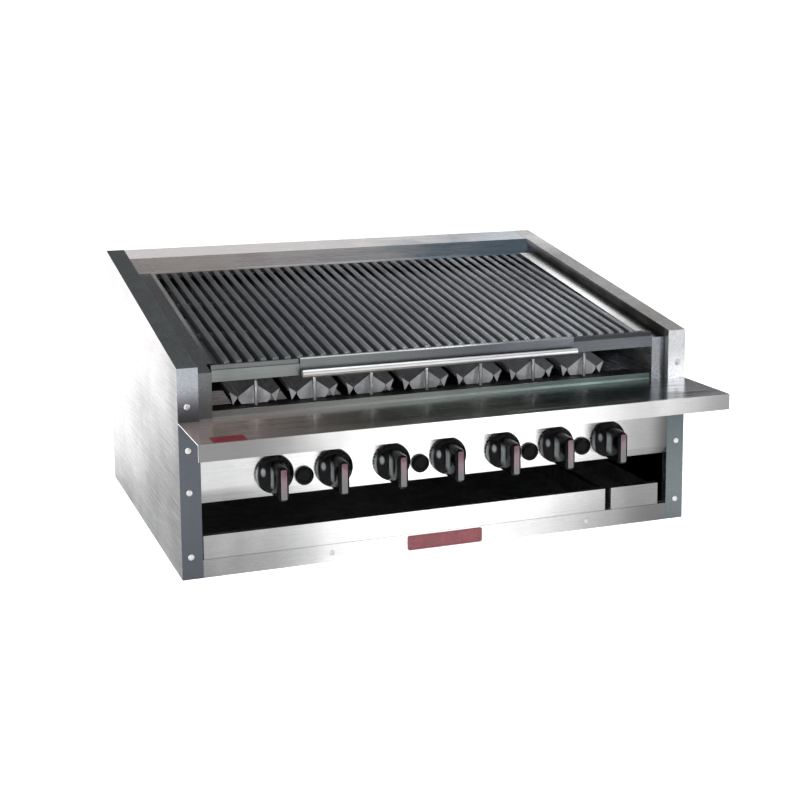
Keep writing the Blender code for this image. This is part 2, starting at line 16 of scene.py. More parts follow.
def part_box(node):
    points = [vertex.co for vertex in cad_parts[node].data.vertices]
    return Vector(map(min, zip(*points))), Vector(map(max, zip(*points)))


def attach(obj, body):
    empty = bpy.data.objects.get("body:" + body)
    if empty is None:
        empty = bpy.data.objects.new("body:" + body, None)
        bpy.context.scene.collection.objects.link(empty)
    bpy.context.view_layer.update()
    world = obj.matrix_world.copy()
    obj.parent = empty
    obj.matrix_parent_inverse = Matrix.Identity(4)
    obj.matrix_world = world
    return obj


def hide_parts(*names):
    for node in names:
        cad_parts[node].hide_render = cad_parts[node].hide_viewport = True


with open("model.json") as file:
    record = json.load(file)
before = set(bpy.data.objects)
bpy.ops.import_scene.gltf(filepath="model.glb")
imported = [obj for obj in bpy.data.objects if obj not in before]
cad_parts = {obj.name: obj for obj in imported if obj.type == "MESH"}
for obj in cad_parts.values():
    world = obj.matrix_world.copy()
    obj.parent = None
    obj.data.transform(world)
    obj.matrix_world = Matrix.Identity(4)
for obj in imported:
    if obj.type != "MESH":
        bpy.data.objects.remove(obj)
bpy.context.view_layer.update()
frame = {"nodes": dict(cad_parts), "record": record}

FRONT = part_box("left_side_casing")[0].y
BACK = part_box("left_side_casing")[1].y
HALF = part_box("right_side_casing")[1].x
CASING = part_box("right_side_casing")[1].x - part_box("right_side_casing")[0].x
BACK_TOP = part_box("right_side_casing")[1].z
SHELF_TOP = 0.258
RAIL_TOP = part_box("base_rail")[1].z
COOKING_SLOPE = 0.15
COOKING_HEIGHT = 0.342  # of the cooking plane where it would meet the front face
TILT = math.atan(COOKING_SLOPE)
SHEET = 0.0015
LEDGE_REACH = 0.072  # from the outside of the casing to the inner edge of the side ledge
RAIL_STEP = 0.335  # above this the front rail is set back
STRIP_DEPTH = 0.015  # of the front rail behind the front face
TROUGH_SHIFT = -0.0045  # the trough hangs a little to the left
TROUGH_LENGTH = 0.494

KNOBS = range(1, 8)
GRATES = range(1, 7)
PLUGS = range(1, 5)
BAR_PITCH = 0.0204
KNOB_PITCH = 0.101
KNOB_RADIUS = 0.032
RIB_WIDTH = 0.008  # of the ribs across the grates


# Geometry


def up_slope(x, y, z):
    """A point given from the foot of the cooking slope, with y along it and z square to it."""
    c, s = math.cos(TILT), math.sin(TILT)
    return Vector((x, y * c - z * s, y * s + z * c))


def turns_of(sides):
    """The angles of a regular ring's points."""
    return [2 * math.pi * k / sides for k in range(sides)]


def mesh_of_rings(name, *stacks, capped=True):
    """A mesh of one or more bodies. Each stack is a list of rings of points, joined in order."""
    points, faces = [], []
    for rings in stacks:
        count, first = len(rings[0]), len(points)
        points += [tuple(point) for ring in rings for point in ring]
        for k in range(len(rings) - 1):
            low = first + k * count
            for i in range(count):
                j = (i + 1) % count
                faces.append((low + i, low + j, low + count + j, low + count + i))
        if capped:
            last = first + (len(rings) - 1) * count
            faces.append(tuple(range(first, first + count)))
            faces.append(tuple(range(last, last + count)))
    mesh = bpy.data.meshes.new(name)
    mesh.from_pydata(points, [], faces)
    work = bmesh.new()
    work.from_mesh(mesh)
    bmesh.ops.recalc_face_normals(work, faces=work.faces)
    work.to_mesh(mesh)
    work.free()
    return mesh


def smoothed(mesh, angle=35):
    """Shades a mesh smooth, but keeps the edges that turn by more than this angle, in degrees."""
    mesh.shade_smooth()
    mesh.set_sharp_from_angle(angle=math.radians(angle))
    return mesh


def soften(obj, width, segments=2, angle=30):
    """Rounds an object's folded and cut edges."""
    bevel = obj.modifiers.new("edges", "BEVEL")
    bevel.width = width
    bevel.segments = segments
    bevel.limit_method = "ANGLE"
    bevel.angle_limit = math.radians(angle)
    bevel.harden_normals = True
    obj.data.shade_smooth()
    obj.data.set_sharp_from_angle(angle=math.radians(angle))


def piece(name, mesh, body, slot, finish, *replaced):
    """Adds a mesh to the object: it rides on a body and may stand for CAD nodes."""
    obj = bpy.data.objects.new(name, mesh)
    bpy.context.scene.collection.objects.link(obj)
    mesh.materials.append(finish)
    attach(obj, body)
    if replaced:
        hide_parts(*replaced)
    return obj


def rounded(path, radius, steps=4):
    """A path of 2-D points with each inner corner turned into an arc."""
    points = [Vector(p) for p in path]
    result = [points[0]]
    for before, corner, after in zip(points, points[1:-1], points[2:]):
        a, b = (before - corner).normalized(), (after - corner).normalized()
        half = a.angle(b) / 2
        reach = min(radius / math.tan(half), (before - corner).length * 0.49, (after - corner).length * 0.49)
        start, end = corner + a * reach, corner + b * reach
        for k in range(steps + 1):
            t = k / steps
            result.append((1 - t) ** 2 * start + 2 * t * (1 - t) * corner + t * t * end)
    result.append(points[-1])
    return result


def bent_sheet(path, thickness=SHEET, radius=0.002):
    """The outline of a folded sheet with round bends, its thickness on the right of the path."""
    points = rounded(path, radius)
    offset = []
    for k, point in enumerate(points):
        before, after = points[max(k - 1, 0)], points[min(k + 1, len(points) - 1)]
        way = (after - before).normalized()
        offset.append(point + Vector((way.y, -way.x)) * thickness)
    return points + list(reversed(offset))


def across(outline, low, high):
    """Rings of a (depth, height) outline at two places along X."""
    return [[Vector((x, y, z)) for y, z in outline] for x in (low, high)]


def turned(profile, sides, centre):
    """Rings about an axis along Y, from (radius, depth) points."""
    return [
        [Vector(centre) + Vector((r * math.cos(a), d, r * math.sin(a))) for a in turns_of(sides)]
        for r, d in profile
    ]


def swept(path, radii, sides):
    """Rings along a path, each square to it."""
    points = [Vector(p) for p in path]
    rings = []
    side = None
    for k, (point, radius) in enumerate(zip(points, radii)):
        way = (points[min(k + 1, len(points) - 1)] - points[max(k - 1, 0)]).normalized()
        if side is None:
            side = way.orthogonal().normalized()
        side = (side - way * side.dot(way)).normalized()
        up = way.cross(side)
        rings.append(
            [point + radius * (math.cos(a) * side + math.sin(a) * up) for a in turns_of(sides)]
        )
    return rings


def arc(centre, u, v, radius, start, end, steps):
    """Points on an arc about centre, in the plane of u and v, between two angles in degrees."""
    angles = [math.radians(start + (end - start) * k / steps) for k in range(steps + 1)]
    return [
        Vector(centre) + radius * (math.cos(a) * Vector(u) + math.sin(a) * Vector(v)) for a in angles
    ]


def rounded_plate(low, high, radius, steps=6):
    """The outline of a plate with round corners, as (x, z) points."""
    corners = (
        (high[0] - radius, high[1] - radius, 0),
        (low[0] + radius, high[1] - radius, 90),
        (low[0] + radius, low[1] + radius, 180),
        (high[0] - radius, low[1] + radius, 270),
    )
    points = []
    for x, z, start in corners:
        for k in range(steps + 1):
            a = math.radians(start + 90 * k / steps)
            points.append((x + radius * math.cos(a), z + radius * math.sin(a)))
    return points


# Materials


class Finish:
    """One material, built up around its Principled BSDF."""

    def __init__(self, name, colour, roughness, metallic):
        self.material = bpy.data.materials.new(name)
        self.material.use_nodes = True
        self.tree = self.material.node_tree
        self.shader = self.tree.nodes["Principled BSDF"]
        self.shader.inputs["Base Color"].default_value = (*colour, 1)
        self.shader.inputs["Roughness"].default_value = roughness
        self.shader.inputs["Metallic"].default_value = metallic
        self.place = self.node("ShaderNodeTexCoord").outputs["Object"]
        split = self.node("ShaderNodeSeparateXYZ")
        self.feed(split.inputs[0], self.place)
        self.x, self.y, self.z = split.outputs
        facing = self.node("ShaderNodeSeparateXYZ")
        self.feed(facing.inputs[0], self.node("ShaderNodeNewGeometry").outputs["Normal"])
        self.facing_x, self.facing_y, self.facing_z = facing.outputs

    def node(self, kind, **settings):
        """A new node of this kind, with its properties set."""
        made = self.tree.nodes.new(kind)
        for key, value in settings.items():
            setattr(made, key, value)
        return made

    def feed(self, socket, value):
        """Links an output to a socket, or sets the socket's own value."""
        if isinstance(value, bpy.types.NodeSocket):
            self.tree.links.new(value, socket)
        elif socket.type == "RGBA":
            socket.default_value = (*value[:3], 1)
        else:
            socket.default_value = value

    def noise(self, scale, detail=3.0, stretch=(1, 1, 1), shift=0.0, distortion=0.0):
        """Noise from 0 to 1, with this many features to the metre before it is stretched."""
        mapping = self.node("ShaderNodeMapping")
        self.feed(mapping.inputs["Vector"], self.place)
        mapping.inputs["Location"].default_value = (shift, shift * 0.7, shift * 1.3)
        mapping.inputs["Scale"].default_value = stretch
        texture = self.node("ShaderNodeTexNoise")
        self.feed(texture.inputs["Vector"], mapping.outputs[0])
        texture.inputs["Scale"].default_value = scale
        texture.inputs["Detail"].default_value = detail
        texture.inputs["Distortion"].default_value = distortion
        return texture.outputs["Fac"]

    def maths(self, operation, a, b=0.0):
        made = self.node("ShaderNodeMath", operation=operation, use_clamp=False)
        self.feed(made.inputs[0], a)
        self.feed(made.inputs[1], b)
        return made.outputs[0]

    def plus(self, a, b):
        return self.maths("ADD", a, b)

    def minus(self, a, b):
        return self.maths("SUBTRACT", a, b)

    def times(self, a, b):
        return self.maths("MULTIPLY", a, b)

    def remap(self, value, low, high, out_low=0.0, out_high=1.0):
        """Runs smoothly from out_low to out_high while the value goes from low to high."""
        made = self.node("ShaderNodeMapRange", interpolation_type="SMOOTHSTEP")
        for socket, number in zip(made.inputs, (value, low, high, out_low, out_high)):
            self.feed(socket, number)
        return made.outputs[0]

    def blend(self, share, a, b, mode="MIX"):
        """Colour a, changed towards colour b by share."""
        made = self.node("ShaderNodeMix", data_type="RGBA", blend_type=mode)
        self.feed(made.inputs[0], share)
        self.feed(made.inputs[6], a)
        self.feed(made.inputs[7], b)
        return made.outputs[2]

    def colour(self, value):
        self.feed(self.shader.inputs["Base Color"], value)

    def roughness(self, value):
        self.feed(self.shader.inputs["Roughness"], value)

    def bump(self, height, distance, strength=1.0):
        made = self.node("ShaderNodeBump")
        made.inputs["Distance"].default_value = distance
        made.inputs["Strength"].default_value = strength
        self.feed(made.inputs["Height"], height)
        self.feed(self.shader.inputs["Normal"], made.outputs[0])


def brushed(name, colour, roughness, grain="x", smudge=0.10, grease=0.0, tint=None):
    """Brushed stainless: fine streaks along the grain, faint smears, and a film of grease on top faces."""
    finish = Finish(name, colour, roughness, 1.0)
    along, wide = 0.012, 1.0
    stretch = {
        "x": (along, wide, wide),
        "y": (wide, along, wide),
        "z": (wide, wide, along),
    }[grain]
    fine = finish.noise(1400, 2, stretch)
    coarse = finish.noise(260, 3, stretch, shift=3.1)
    streaks = finish.plus(finish.times(fine, 0.6), finish.times(coarse, 0.4))
    smears = finish.noise(7, 5, (1, 1, 0.6), shift=8.0, distortion=0.6)
    smudge_and_shade = finish.remap(smears, 0.40, 0.75)
    darker = tuple(c * (1 - smudge) for c in colour)
    look = finish.blend(smudge_and_shade, colour, darker)
    look = finish.blend(finish.remap(streaks, 0.3, 0.7, 0.0, 0.35), look, tuple(c * 0.86 for c in colour))
    gloss = finish.remap(streaks, 0.3, 0.7, roughness - 0.06, roughness + 0.07)
    gloss = finish.plus(gloss, finish.times(smudge_and_shade, 0.06))
    if tint is not None:
        look = finish.blend(*tint(finish, look))
    if grease:
        film = finish.noise(18, 6, shift=5.0, distortion=1.2)
        on_top = finish.remap(finish.facing_z, 0.55, 0.95)
        film = finish.times(on_top, finish.remap(film, 0.30, 0.62, 0.35 * grease, grease))
        look = finish.blend(film, look, (0.22, 0.215, 0.165))
        gloss = finish.plus(gloss, finish.times(film, 0.05))
    finish.colour(look)
    finish.roughness(gloss)
    finish.bump(streaks, 0.00012, 0.35)
    return finish


def look_of(finish):
    """The colour that the shader has so far."""
    return finish.shader.inputs["Base Color"].links[0].from_socket


def dull(finish, share, factor):
    """Darkens the surface by a factor, a number or a colour, where share is 1; it lays on the painted shade
    and sheen below.
    """
    finish.colour(finish.blend(share, look_of(finish), factor, "MULTIPLY"))


def forward(finish):
    """1 on faces that look to the front."""
    return finish.remap(finish.facing_y, -0.85, -0.55, 1.0, 0.0)


def upward(finish):
    """1 on faces that look up."""
    return finish.remap(finish.facing_z, 0.75, 0.92)


def paint_end_shade(finish, left, right, where=None, fading=(0.04, 0.46)):
    """Painted sheen and shade: a front face is painted brightest in the middle and darker towards both posts.
    """
    cloud = finish.noise(5, 3, (1, 1, 0.5), shift=11.0)
    x = finish.plus(finish.x, finish.remap(cloud, 0.3, 0.7, -0.05, 0.05))
    at_left = finish.remap(x, -0.45, -0.06, left, 1.0)
    at_right = finish.remap(x, *fading, 1.0, right)
    share = finish.times(at_left, at_right)
    dull(finish, 1.0 if where is None else where, share)


def cabinet_steel():
    """The casings: posts and caps in painted shade and reflection, sides in painted shade that deepens
    towards their lower front corner, a sooty bay.
    """
    finish = brushed("casing_steel", (0.86, 0.86, 0.87), 0.27, "y", grease=0.35)
    # Painted shade on the posts' fronts: dark below the shelf and graded above it, each post its own way.
    left = finish.maths("LESS_THAN", finish.x, 0.0)
    at_shelf = SHELF_TOP + 0.001
    below_shelf = finish.remap(finish.z, at_shelf - 0.037, at_shelf, 1.0, 0.0)
    rising = finish.remap(finish.z, 0.05, 0.23)
    under_right = finish.blend(rising, (0.136, 0.152, 0.16), (0.076, 0.092, 0.098))
    under = finish.blend(left, under_right, (0.088, 0.097, 0.108))
    above_shelf = finish.remap(finish.z, at_shelf, 0.320)
    over_left = finish.blend(above_shelf, (0.078, 0.085, 0.095), (0.32, 0.335, 0.36))
    over_right = finish.blend(above_shelf, (0.56, 0.565, 0.575), (0.335, 0.34, 0.345))
    over = finish.blend(left, over_right, over_left)
    dull(finish, forward(finish), finish.blend(below_shelf, over, under))

    # Painted shade on the caps, darker towards the front; the right cap pales towards the back as a painted
    # reflection.
    right_cap = finish.blend(finish.remap(finish.y, -0.20, 0.12), (0.110, 0.105, 0.101), (0.21, 0.205, 0.205))
    right_cap = finish.blend(finish.remap(finish.y, 0.18, 0.36), right_cap, (0.60, 0.60, 0.60))
    cap = finish.blend(left, right_cap, (0.20, 0.235, 0.24))
    dull(finish, upward(finish), cap)

    # Painted shade and reflection on the outer sides: near white at the upper back, dark at the lower front,
    # and darker again beside the front posts.
    outward = finish.remap(finish.maths("ABSOLUTE", finish.facing_x), 0.6, 0.9)
    outer = finish.maths("GREATER_THAN", finish.maths("ABSOLUTE", finish.x), HALF - 0.01)
    back_and_up = finish.plus(finish.z, finish.times(finish.y, 0.45))
    cloud = finish.noise(4, 3, shift=2.5, distortion=0.5)
    back_and_up = finish.plus(back_and_up, finish.remap(cloud, 0.3, 0.7, -0.04, 0.04))
    fade = finish.remap(back_and_up, 0.04, 0.40)
    side = finish.blend(fade, (0.021, 0.023, 0.026), (0.90, 0.875, 0.865))
    dull(finish, finish.times(outward, outer), side)
    by_post = finish.times(outward, finish.remap(finish.y, FRONT + 0.05, FRONT + 0.26, 1.0, 0.0))
    dull(finish, by_post, finish.remap(finish.z, 0.04, 0.28, 0.50, 0.85))
    soot_inside(finish)
    return finish.material


def soot_inside(finish):
    """Darkens what lies inside the bay, behind the front and between the casings."""
    bay = HALF - CASING + 0.0012
    gloss = finish.shader.inputs["Roughness"].links[0].from_socket
    within = finish.maths("LESS_THAN", finish.maths("ABSOLUTE", finish.x), bay)
    behind = finish.remap(finish.y, FRONT + 0.002, FRONT + 0.020)
    ahead = finish.maths("LESS_THAN", finish.y, BACK - 0.0008)
    inside = finish.times(finish.times(within, behind), ahead)
    patches = finish.noise(14, 5, shift=2.0)
    amount = finish.times(inside, finish.remap(patches, 0.25, 0.7, 0.80, 0.97))
    over = finish.minus(finish.z, finish.times(finish.y, COOKING_SLOPE))
    plane = COOKING_HEIGHT - COOKING_SLOPE * FRONT
    amount = finish.times(amount, finish.remap(over, plane + 0.001, plane + 0.013, 1.0, 0.45))
    finish.colour(finish.blend(amount, look_of(finish), (0.055, 0.053, 0.048)))
    rougher = finish.plus(gloss, finish.times(inside, 0.25))
    finish.roughness(rougher)


def front_steel():
    """The control panel and the base rail, in painted light: bright in the middle, with painted shade at both
    ends, at the foot and by the right post.
    """
    finish = brushed("front_steel", (0.80, 0.80, 0.805), 0.24, "x", smudge=0.05)
    paint_end_shade(finish, finish.remap(finish.z, 0.03, 0.06, 0.20, 0.44), 0.20, forward(finish))
    # Painted shade along the foot, deeper at the right, beside the right post, and on a band at the panel's
    # left end.
    low = finish.times(forward(finish), finish.remap(finish.z, 0.03, 0.06, 1.0, 0.0))
    dull(finish, low, finish.remap(finish.x, 0.0, 0.15, 1.0, 0.78))
    high = finish.times(forward(finish), finish.remap(finish.z, 0.10, 0.12))
    dull(finish, high, finish.remap(finish.x, 0.385, HALF - CASING, 1.08, 0.42))
    corner = finish.times(high, finish.remap(finish.z, 0.138, 0.150, 1.0, 0.0))
    dull(finish, corner, finish.remap(finish.x, -0.38, -0.22, 0.62, 1.0))
    soot_inside(finish)
    return finish.material


def shelf_steel():
    """The shelf, in painted reflection: bright down its front edge, its top painted pale brown at the left
    and nearly black at the right, with pale streaks.
    """
    finish = brushed("shelf_steel", (0.82, 0.82, 0.815), 0.20, "x", smudge=0.05)
    paint_end_shade(finish, 0.18, 0.22, forward(finish))
    # Painted reflection on the front faces set behind the front line, pale at the left and dark at the right.
    lip = finish.maths("GREATER_THAN", finish.y, FRONT + 0.010)
    lip_face = finish.blend(finish.remap(finish.x, -0.36, -0.12), (0.88, 0.92, 0.90), (0.44, 0.47, 0.47))
    lip_face = finish.blend(finish.remap(finish.x, -0.10, 0.25), lip_face, (0.12, 0.155, 0.15))
    dull(finish, finish.times(forward(finish), lip), lip_face)
    # Painted reflection on the top: pale brown at the left, grey-green, nearly black at the right and grey at
    # the far right end, with pale painted streaks.
    streaks = finish.noise(60, 4, (0.05, 1, 1), shift=4.0, distortion=0.4)
    x = finish.plus(finish.x, finish.remap(streaks, 0.3, 0.7, -0.05, 0.05))
    top = finish.blend(finish.remap(x, -0.40, -0.05), (0.95, 0.80, 0.74), (0.46, 0.49, 0.41))
    top = finish.blend(finish.remap(x, -0.02, 0.22), top, (0.045, 0.065, 0.058))
    top = finish.blend(finish.remap(x, 0.34, 0.44), top, (0.42, 0.42, 0.45))
    wipes_and_glints = finish.noise(38, 3, (0.12, 1.6, 1), shift=6.0, distortion=0.3)
    top = finish.blend(finish.remap(wipes_and_glints, 0.66, 0.74, 0.0, 0.6), top, (0.75, 0.75, 0.74))
    top = finish.blend(lip, top, (0.90, 0.91, 0.92))
    dull(finish, upward(finish), top)
    greasy = finish.times(upward(finish), finish.remap(x, -0.40, -0.05, 0.12, 0.0))
    finish.feed(finish.shader.inputs["Metallic"], finish.minus(1.0, greasy))
    return finish.material


def riser_steel():
    """The riser in painted shade: its face dark, warm at the left and turning blue at the right, and its top
    paler, greying towards the right.
    """
    finish = brushed("riser_steel", (0.92, 0.915, 0.915), 0.28, "x")
    patches = finish.noise(9, 4, (1, 1, 2.5), shift=1.0, distortion=0.8)
    x = finish.plus(finish.x, finish.remap(patches, 0.3, 0.7, -0.08, 0.08))
    # Painted shade darkens the face throughout and the top less.
    face = finish.blend(finish.remap(x, -0.36, 0.10), (0.225, 0.205, 0.20), (0.305, 0.305, 0.312))
    face = finish.blend(finish.remap(x, 0.05, 0.34), face, (0.135, 0.178, 0.215))
    top = finish.blend(finish.remap(x, 0.0, 0.34), (0.88, 0.85, 0.84), (0.42, 0.46, 0.50))
    at_top = finish.maths("GREATER_THAN", finish.z, BACK_TOP - 0.02)
    on_top = finish.times(finish.remap(finish.facing_z, 0.6, 0.9), at_top)
    dull(finish, 1.0, finish.blend(on_top, face, top))
    finish.feed(finish.shader.inputs["Metallic"], finish.remap(on_top, 0.0, 1.0, 1.0, 0.45))
    return finish.material


def liner_steel():
    """The firebox sides, heat-coloured, in painted light: shade on the front strips and the left ledge,
    highlights along the right ledge and the left ledge's inner edge, and soot with painted shade inside,
    darker towards the foot.
    """

    def tint(finish, look):
        patches = finish.noise(16, 5, (1, 0.6, 1.5), shift=6.0, distortion=1.0)
        hue = finish.blend(finish.remap(patches, 0.35, 0.65), (0.62, 0.58, 0.54), (0.54, 0.56, 0.62))
        return finish.remap(patches, 0.25, 0.75, 0.10, 0.40), look, hue

    finish = brushed("liner_steel", (0.88, 0.88, 0.89), 0.26, "y", tint=tint)
    left = finish.maths("LESS_THAN", finish.x, 0.0)
    # Painted shade on the front strips.
    dull(finish, forward(finish), finish.blend(left, (0.17, 0.18, 0.19), (0.13, 0.138, 0.138)))
    # Painted highlight along the right ledge, painted shade on the left ledge.
    lit = finish.remap(finish.y, -0.20, 0.00, 0.26, 0.80)
    lit = finish.times(lit, finish.remap(finish.y, 0.12, 0.28, 1.0, 0.6))
    lit = finish.times(lit, finish.remap(finish.x, HALF - 0.066, HALF - 0.050, 1.0, 0.12))
    dull(finish, upward(finish), finish.blend(left, lit, (0.16, 0.165, 0.17)))
    # Painted highlight: a pale line along the left ledge's inner edge.
    edge = LEDGE_REACH - HALF
    wear_and_glint = finish.times(left, finish.remap(finish.x, edge - 0.0085, edge - 0.0055, 0.0, 0.5))
    wear_and_glint = finish.times(wear_and_glint, finish.remap(finish.y, -0.18, 0.05))
    wear_and_glint = finish.times(wear_and_glint, upward(finish))
    finish.colour(finish.blend(wear_and_glint, look_of(finish), (0.9, 0.9, 0.9)))
    # Soot and painted shade inside, darker towards the foot.
    below = finish.remap(finish.z, 0.250, 0.345, 1.0, 0.0)
    inner_left = finish.remap(finish.y, FRONT + 0.018, FRONT + 0.030)
    inner_right = finish.remap(finish.y, FRONT + 0.120, FRONT + 0.220)
    inner = finish.times(below, finish.blend(left, inner_right, inner_left))
    soot = finish.times(inner, 0.93)
    finish.colour(finish.blend(soot, look_of(finish), (0.03, 0.028, 0.027)))
    return finish.material


def rail_steel():
    """The front rail, painted darker towards the right and in painted shade on its set-back upper band, and
    the trough's back over it with a painted highlight along its folded top and a shadowed foot.
    """
    finish = brushed("rail_steel", (0.60, 0.61, 0.61), 0.30, "x", smudge=0.2)
    # Painted shade, deeper towards the right.
    share = finish.remap(finish.x, -0.30, 0.10)
    dull(finish, 1.0, finish.blend(share, (0.27, 0.285, 0.28), (0.122, 0.127, 0.140)))
    # Painted shade on the set-back band above the step, outside the trough.
    aside = finish.maths("ABSOLUTE", finish.minus(finish.x, TROUGH_SHIFT))
    over = finish.remap(aside, TROUGH_LENGTH / 2 - 0.0005, TROUGH_LENGTH / 2 + 0.0005, 1.0, 0.0)
    above_step = finish.remap(finish.z, RAIL_STEP + 0.0002, RAIL_STEP + 0.0008)
    set_back = finish.times(forward(finish), above_step)
    set_back = finish.times(set_back, finish.minus(1.0, over))
    dull(finish, set_back, finish.remap(share, 0.0, 1.0, 0.75, 0.36))
    foot = finish.remap(finish.z, 0.325, 0.332, 0.45, 0.95)
    dull(finish, finish.times(over, forward(finish)), foot)
    # Painted highlight along the trough's folded top, brightest near the middle.
    top = finish.times(over, finish.remap(finish.z, 0.3420, 0.3432))
    brightest = finish.remap(finish.x, 0.0, 0.13, 0.80, 0.12)
    brightest = finish.times(brightest, finish.remap(finish.x, -0.10, -0.03, 0.55, 1.0))
    finish.colour(finish.blend(finish.times(top, brightest), look_of(finish), (0.95, 0.95, 0.95)))
    return finish.material


def trough_steel():
    """The rolled edge of the grease trough."""
    return brushed("trough_steel", (0.56, 0.56, 0.565), 0.40, "x", smudge=0.16).material


def pan_steel():
    """The pans: fronts painted bright in the middle with painted shade towards both ends, and baked-on grease
    inside.
    """
    finish = brushed("pan_steel", (0.80, 0.80, 0.805), 0.23, "x", smudge=0.06)
    paint_end_shade(finish, 0.24, 0.22, forward(finish), (-0.04, 0.42))
    look = look_of(finish)
    gloss = finish.shader.inputs["Roughness"].links[0].from_socket
    behind = finish.remap(finish.y, FRONT + 0.0105, FRONT + 0.014)
    spread = finish.noise(22, 6, shift=4.0, distortion=1.5)
    amount = finish.times(behind, finish.remap(spread, 0.3, 0.65, 0.72, 0.96))
    finish.colour(finish.blend(amount, look, (0.25, 0.265, 0.25)))
    finish.roughness(finish.plus(gloss, finish.times(amount, 0.12)))
    return finish.material


def sooty_steel(name, colour, soot, roughness):
    """Sheet steel in the fire: grey metal under uneven soot and rust-brown scale."""
    finish = Finish(name, colour, roughness, 1.0)
    broad = finish.noise(12, 6, shift=1.0, distortion=0.7)
    fine = finish.noise(160, 5, shift=2.0)
    look = finish.blend(finish.remap(broad, 0.35, 0.7, 0.15, 0.85), colour, soot)
    rust = (colour[0] * 0.8, colour[1] * 0.45, colour[2] * 0.28)
    look = finish.blend(finish.remap(fine, 0.60, 0.75, 0.0, 0.35), look, rust)
    finish.colour(look)
    finish.roughness(finish.remap(broad, 0.3, 0.7, roughness - 0.08, roughness + 0.15))
    finish.bump(fine, 0.0003, 0.4)
    return finish.material


def radiant_steel():
    """Radiant roofs: heat-greyed, with patches of scale and a painted highlight on the hems that face left.
    """
    finish = Finish("radiant_steel", (0.30, 0.30, 0.31), 0.38, 0.85)
    broad = finish.noise(20, 5, shift=3.0, distortion=0.5)
    fine = finish.noise(220, 4, shift=5.0)
    look = finish.blend(finish.remap(broad, 0.35, 0.7, 0.0, 0.7), (0.30, 0.30, 0.31), (0.14, 0.14, 0.145))
    look = finish.blend(finish.remap(fine, 0.58, 0.75, 0.0, 0.4), look, (0.20, 0.16, 0.14))
    # Painted highlight on the hems that face left, weaker on the leftmost radiants.
    hem = finish.remap(finish.facing_x, -0.98, -0.90, 1.0, 0.0)
    hem = finish.times(hem, finish.remap(finish.x, -0.28, -0.22, 0.2, 1.0))
    hem = finish.times(hem, finish.remap(broad, 0.3, 0.6, 0.5, 1.0))
    look = finish.blend(hem, look, (0.75, 0.76, 0.78))
    finish.colour(look)
    finish.roughness(finish.remap(broad, 0.3, 0.7, 0.30, 0.50))
    finish.bump(fine, 0.0003, 0.35)
    return finish.material


def radiant_face():
    """The radiants' front plates, pale and a little chalky."""
    finish = Finish("radiant_face", (0.60, 0.61, 0.63), 0.48, 0.35)
    broad = finish.noise(34, 5, shift=3.0, distortion=0.6)
    fine = finish.noise(300, 4, shift=5.0)
    finish.colour(finish.blend(finish.remap(broad, 0.35, 0.7), (0.85, 0.86, 0.89), (0.55, 0.56, 0.58)))
    finish.roughness(finish.remap(broad, 0.3, 0.7, 0.40, 0.60))
    finish.bump(fine, 0.0003, 0.3)
    return finish.material


def grate_iron():
    """Seasoned cast iron: worn grey along the tops, with burnt-on specks; painted shade blackens the gaps
    towards the back and dims the castings towards both ends, with a painted sheen just right of the middle.
    """
    finish = Finish("grate_iron", (0.10, 0.105, 0.11), 0.45, 0.75)
    skin = finish.noise(420, 5, shift=2.0)
    lumps = finish.noise(75, 4, (1, 0.35, 1), shift=4.0)
    patches = finish.noise(6, 4, (1, 0.7, 1), shift=9.0, distortion=0.5)
    top = finish.remap(finish.facing_z, 0.45, 0.90)
    wear_and_glint = finish.times(top, finish.remap(lumps, 0.25, 0.65, 0.45, 1.0))
    worn = finish.blend(finish.remap(patches, 0.3, 0.7), (0.215, 0.225, 0.24), (0.13, 0.138, 0.15))
    # Painted shade: the flanks go black towards the back.
    rear = finish.remap(finish.y, 0.165, 0.225)
    flank = finish.blend(rear, (0.20, 0.21, 0.225), (0.014, 0.015, 0.016))
    look = finish.blend(wear_and_glint, flank, worn)
    # Painted shade and sheen across the castings: dim at the left, brighter right of the middle, dim again at
    # the right.
    x = finish.plus(finish.x, finish.remap(patches, 0.3, 0.7, -0.03, 0.03))
    from_left = finish.remap(x, -0.40, 0.08, 0.42, 0.95)
    to_middle = finish.remap(x, 0.04, 0.22, 1.0, 1.28)
    to_right = finish.remap(x, 0.26, 0.37, 1.0, 0.66)
    smudge_and_shade = finish.times(from_left, finish.times(to_middle, to_right))
    look = finish.blend(1.0, look, smudge_and_shade, "MULTIPLY")
    burnt = finish.remap(finish.noise(120, 3, shift=7.0), 0.62, 0.72, 0.0, 0.7)
    look = finish.blend(burnt, look, (0.035, 0.03, 0.026))
    finish.colour(look)
    finish.roughness(finish.remap(lumps, 0.3, 0.7, 0.34, 0.56))
    height = finish.plus(finish.times(skin, 0.5), lumps)
    finish.bump(height, 0.0005, 0.5)
    return finish.material


def burner_iron():
    return sooty_steel("burner_iron", (0.16, 0.15, 0.15), (0.045, 0.04, 0.04), 0.6)


